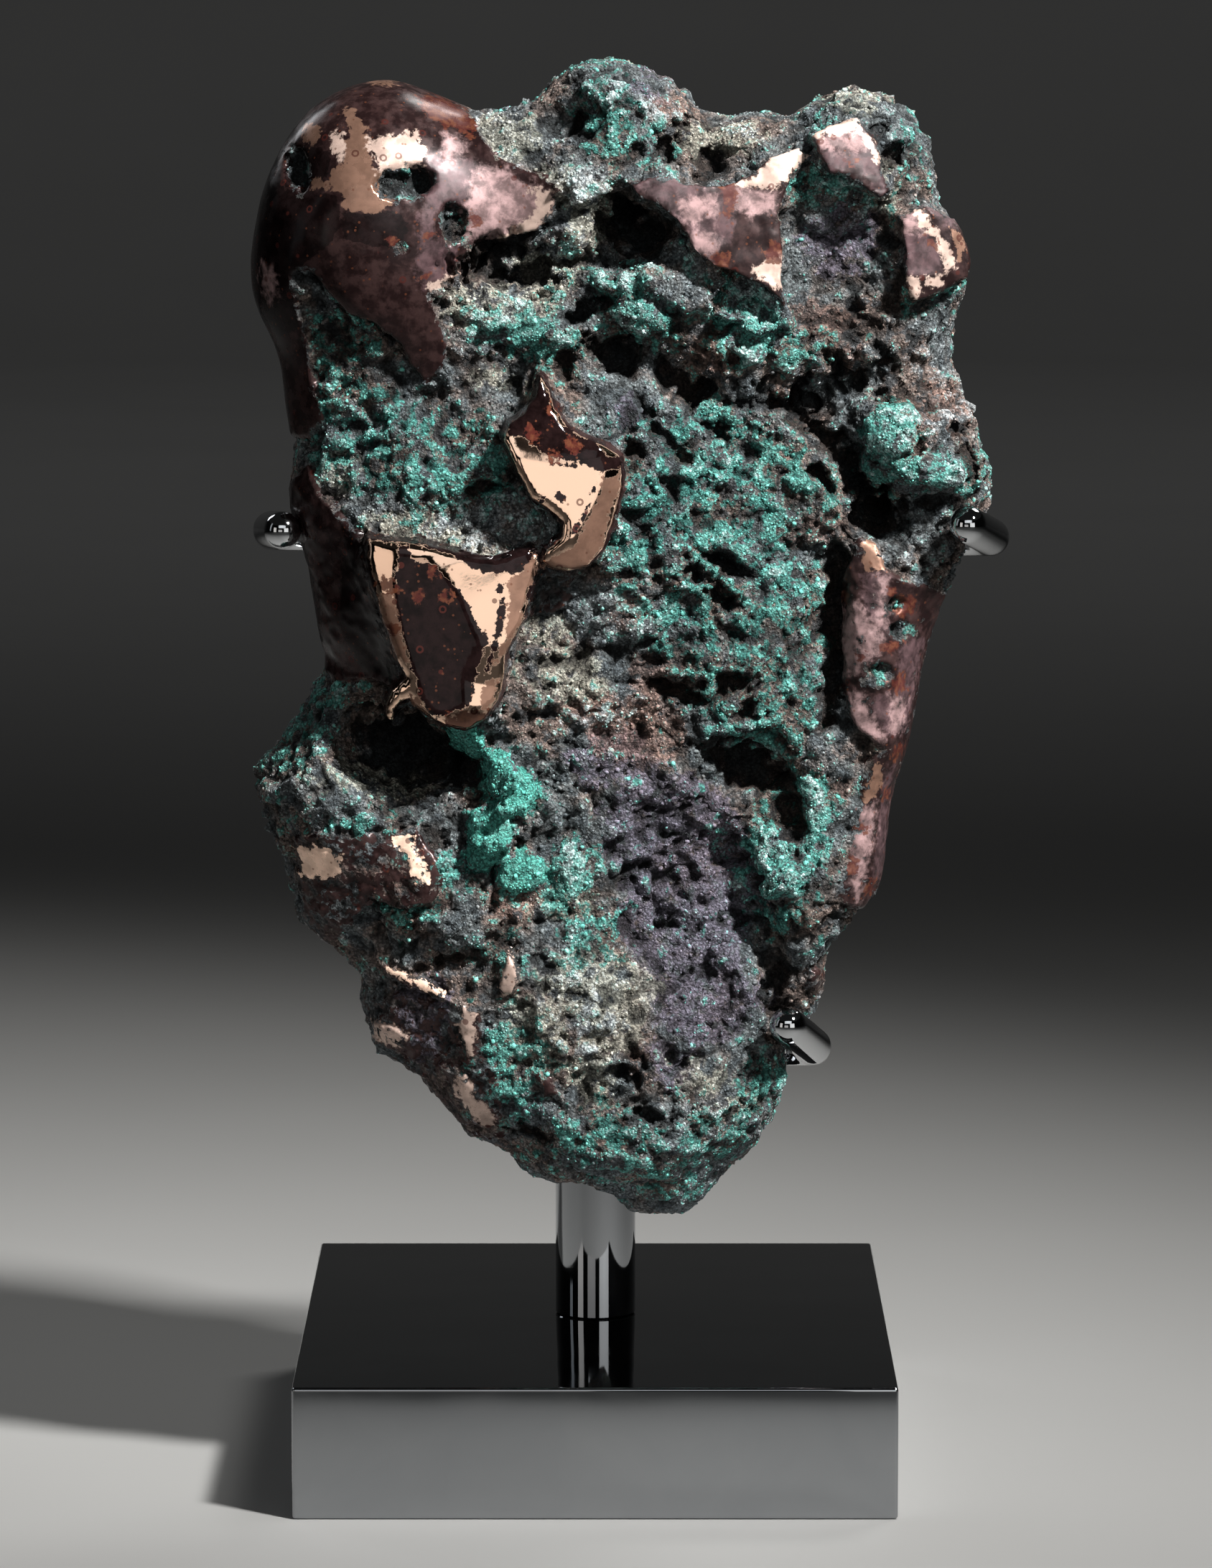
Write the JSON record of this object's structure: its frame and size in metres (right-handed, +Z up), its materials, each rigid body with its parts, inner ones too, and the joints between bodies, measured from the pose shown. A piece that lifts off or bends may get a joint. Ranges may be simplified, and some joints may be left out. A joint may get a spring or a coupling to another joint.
{
  "type": "native copper nugget on a display stand",
  "caption": "Large native copper nugget with bare polished faces and a green crust, held upright by bent rods on a post and a heavy steel block.",
  "frame": {"origin": "centre of the base block's underside", "axes": "+Z up, -Y towards the viewer who looks at the nugget's best side, +X to that viewer's right"},
  "size_m": [0.2606, 0.254, 0.4876],
  "materials": {
    "native_copper": "granular green and grey crust with bare polished copper faces",
    "polished_steel": "mirror polished"
  },
  "bodies": {
    "root": {"copper_nugget": "native_copper", "base_block": "polished_steel", "post": "polished_steel", "left_arm": "polished_steel", "right_arm": "polished_steel", "lower_arm": "polished_steel"}
  },
  "joints": []
}
